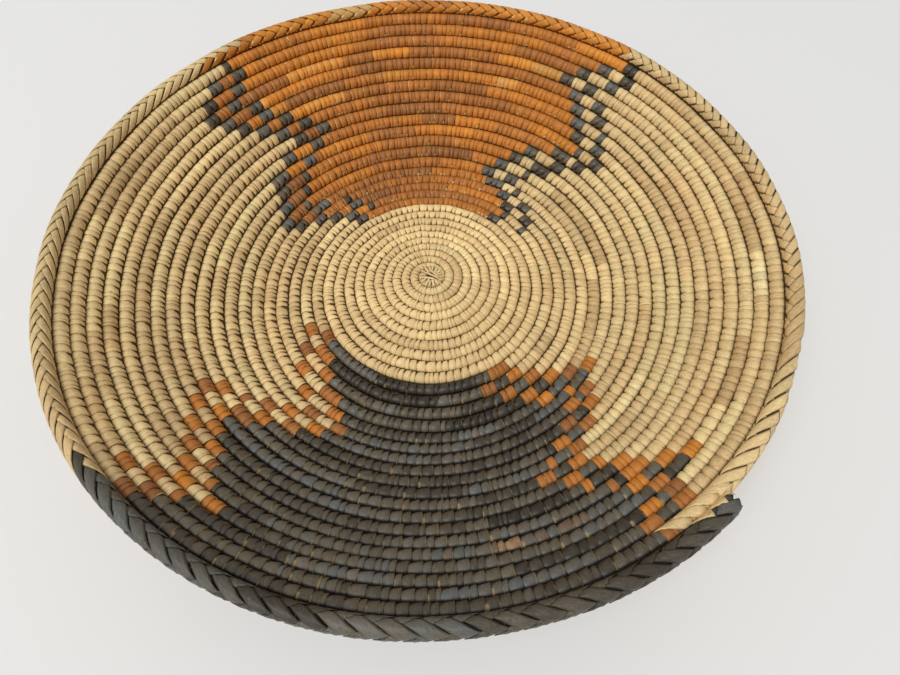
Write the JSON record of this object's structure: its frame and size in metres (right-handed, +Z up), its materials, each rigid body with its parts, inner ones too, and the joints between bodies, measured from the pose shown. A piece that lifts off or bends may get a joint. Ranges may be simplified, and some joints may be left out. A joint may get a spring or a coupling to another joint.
{
  "type": "coiled basket bowl",
  "caption": "Shallow flared bowl of coiled basketry: a stitched spiral coil with dyed fields in rust and black and a herringbone braided rim.",
  "frame": {"origin": "centre of the outer box in plan, on the surface that the bowl stands on", "axes": "+Z up out of the bowl's mouth, +Y away from the viewer towards the rust field, +X to the viewer's right"},
  "size_m": [0.3192, 0.321, 0.0647],
  "materials": {
    "natural_splint": "dry straw-coloured plant splint, matt",
    "rust_splint": "rust-dyed plant splint, matt",
    "black_splint": "charcoal-dyed plant splint, slight sheen on the rim"
  },
  "bodies": {
    "root": {"start_knot": "natural_splint", "centre_coil": "natural_splint", "lower_wall_coil": "natural_splint", "middle_wall_coil": "natural_splint", "upper_wall_coil": "natural_splint", "orange_stitching_row_01": "rust_splint", "orange_stitching_row_02": "rust_splint", "orange_stitching_row_03": "rust_splint", "orange_stitching_row_04": "rust_splint", "orange_stitching_row_05": "rust_splint", "orange_stitching_row_06": "rust_splint", "orange_stitching_row_07": "rust_splint", "orange_stitching_row_08": "rust_splint", "orange_stitching_row_09": "rust_splint", "orange_stitching_row_10": "rust_splint", "orange_stitching_row_11": "rust_splint", "orange_stitching_row_12": "rust_splint", "orange_stitching_row_13": "rust_splint", "orange_stitching_row_14": "rust_splint", "orange_stitching_row_15": "rust_splint", "orange_stitching_row_16": "rust_splint", "orange_stitching_row_17": "rust_splint", "orange_stitching_row_18": "rust_splint", "orange_stitching_row_19": "rust_splint", "black_stitching_row_01": "black_splint", "black_stitching_row_02": "black_splint", "black_stitching_row_03": "black_splint", "black_stitching_row_04": "black_splint", "black_stitching_row_05": "black_splint", "black_stitching_row_06": "black_splint", "black_stitching_row_07": "black_splint", "black_stitching_row_08": "black_splint", "black_stitching_row_09": "black_splint", "black_stitching_row_10": "black_splint", "black_stitching_row_11": "black_splint", "black_stitching_row_12": "black_splint", "black_stitching_row_13": "black_splint", "black_stitching_row_14": "black_splint", "black_stitching_row_15": "black_splint", "black_stitching_row_16": "black_splint", "black_stitching_row_17": "black_splint", "black_stitching_row_18": "black_splint", "black_stitching_row_19": "black_splint", "rim_braid_natural_right": "natural_splint", "rim_braid_orange_back": "rust_splint", "rim_braid_natural_left": "natural_splint", "rim_braid_black_front": "black_splint"}
  },
  "joints": []
}
